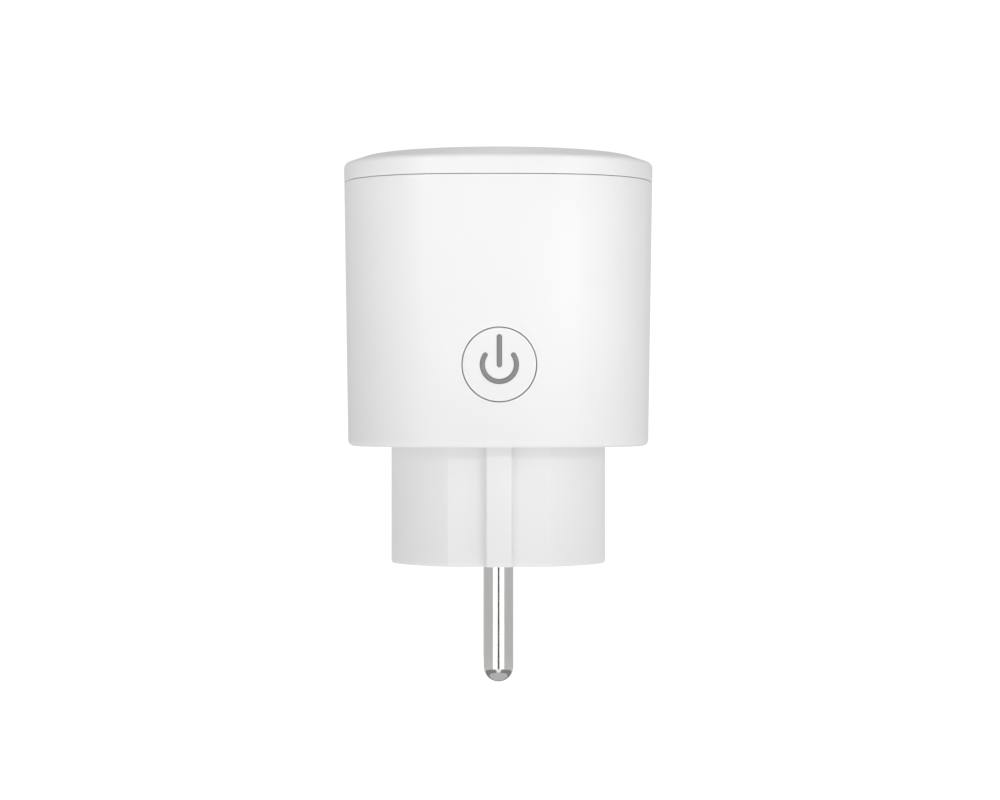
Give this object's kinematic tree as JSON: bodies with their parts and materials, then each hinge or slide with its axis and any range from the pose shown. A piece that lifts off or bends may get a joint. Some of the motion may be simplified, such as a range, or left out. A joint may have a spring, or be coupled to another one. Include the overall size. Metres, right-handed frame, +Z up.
{
  "type": "plug in power meter",
  "caption": "Plug-through power meter: a rounded square body with a round pinned plug below, a recessed socket on top, and a push button with a power symbol.",
  "frame": {"origin": "centre of the plug's end face, between the two pins", "axes": "+Z up through the body to the socket, the two pins on the Y axis, the push button on the -Y side"},
  "size_m": [0.051, 0.051, 0.0861],
  "materials": {
    "white_housing": "satin-gloss moulded white",
    "white_cover": "satin-gloss moulded white",
    "white_base": "satin-gloss moulded white",
    "white_button": "satin-gloss moulded white",
    "grey_icon": "grey translucent insert",
    "natural_plastic": "matt off-white",
    "shutter_plastic": "matt white",
    "spring_steel": "drawn wire",
    "nickel_pin": "nickel plated, satin",
    "nickel_strip": "nickel plated strip",
    "brass_strip": "bare stamped brass",
    "board_green": "solder mask",
    "board_blue": "solder mask",
    "black_plastic": "moulded black",
    "grey_plastic": "moulded grey",
    "led_lens": "clear lens",
    "capacitor_sleeve": "heat-shrink sleeve",
    "ferrite": "ferrite and lacquered wire",
    "blue_epoxy": "dipped epoxy",
    "yellow_box": "moulded case",
    "green_enamel": "enamel",
    "shunt_alloy": "bare alloy strip",
    "tin_shield": "tinned steel",
    "screw_steel": "zinc plated"
  },
  "bodies": {
    "housing": {"body_shell": "white_housing", "socket_cover": "white_cover", "plug_base": "white_base", "shutter_tray": "natural_plastic", "shutter_spring": "spring_steel", "contact_carrier": "natural_plastic", "line_pin": "nickel_pin", "neutral_pin": "nickel_pin", "earth_strap_left": "nickel_strip", "earth_strap_right": "nickel_strip", "earth_bridge": "brass_strip", "line_socket_contact": "brass_strip", "neutral_socket_contact": "brass_strip", "main_pcb": "board_green", "control_pcb": "board_green", "tact_switch_body": "black_plastic", "status_led": "led_lens", "relay": "black_plastic", "bulk_capacitor_1": "capacitor_sleeve", "bulk_capacitor_2": "capacitor_sleeve", "output_capacitor": "capacitor_sleeve", "power_inductor": "ferrite", "varistor": "blue_epoxy", "film_capacitor": "yellow_box", "fuse_resistor": "green_enamel", "bridge_rectifier": "black_plastic", "power_controller_chip": "black_plastic", "metering_chip": "black_plastic", "current_shunt": "shunt_alloy", "radio_module": "board_blue", "radio_shield": "tin_shield", "board_header": "black_plastic", "base_screw_1": "screw_steel", "base_screw_2": "screw_steel", "base_screw_3": "screw_steel", "base_screw_4": "screw_steel", "pcb_screw_1": "screw_steel", "pcb_screw_2": "screw_steel", "carrier_screw_1": "screw_steel", "carrier_screw_2": "screw_steel", "tray_screw_1": "screw_steel", "tray_screw_2": "screw_steel"},
    "button": {"power_button": "white_button", "button_light_guide": "grey_icon"},
    "switch_plunger": {"tact_switch_plunger": "grey_plastic"},
    "shutter_slider": {"shutter": "shutter_plastic"},
    "earth_contact_left": {"earth_clip_left": "nickel_strip"},
    "earth_contact_right": {"earth_clip_right": "nickel_strip"}
  },
  "joints": [
    {"name": "button_press", "type": "slide", "parent": "housing", "child": "button", "axis": [0, 1, 0], "range_m": [0, 0.0005], "stiffness_N_per_m": 100, "springref_m": -0.002},
    {"name": "switch_press", "type": "slide", "parent": "housing", "child": "switch_plunger", "axis": [0, 1, 0], "range_m": [0, 0.0005]},
    {"name": "shutter_slide", "type": "slide", "parent": "housing", "child": "shutter_slider", "axis": [1, 0, 0], "range_m": [0, 0.006], "stiffness_N_per_m": 80, "springref_m": -0.004, "deforming": ["shutter_spring"]},
    {"name": "earth_contact_left_flex", "type": "hinge", "parent": "housing", "child": "earth_contact_left", "pos_m": [-0.0205, 0, 0.0262], "axis": [0, -1, 0], "range_deg": [0, 2.4], "stiffness_Nm_per_rad": 0.2, "springref_deg": -5.73},
    {"name": "earth_contact_right_flex", "type": "hinge", "parent": "housing", "child": "earth_contact_right", "pos_m": [0.0205, 0, 0.0262], "axis": [0, 1, 0], "range_deg": [0, 2.4], "stiffness_Nm_per_rad": 0.2, "springref_deg": -5.73}
  ],
  "couplings": [
    {"joint": "switch_press", "follows": "button_press", "ratio": 1}
  ]
}
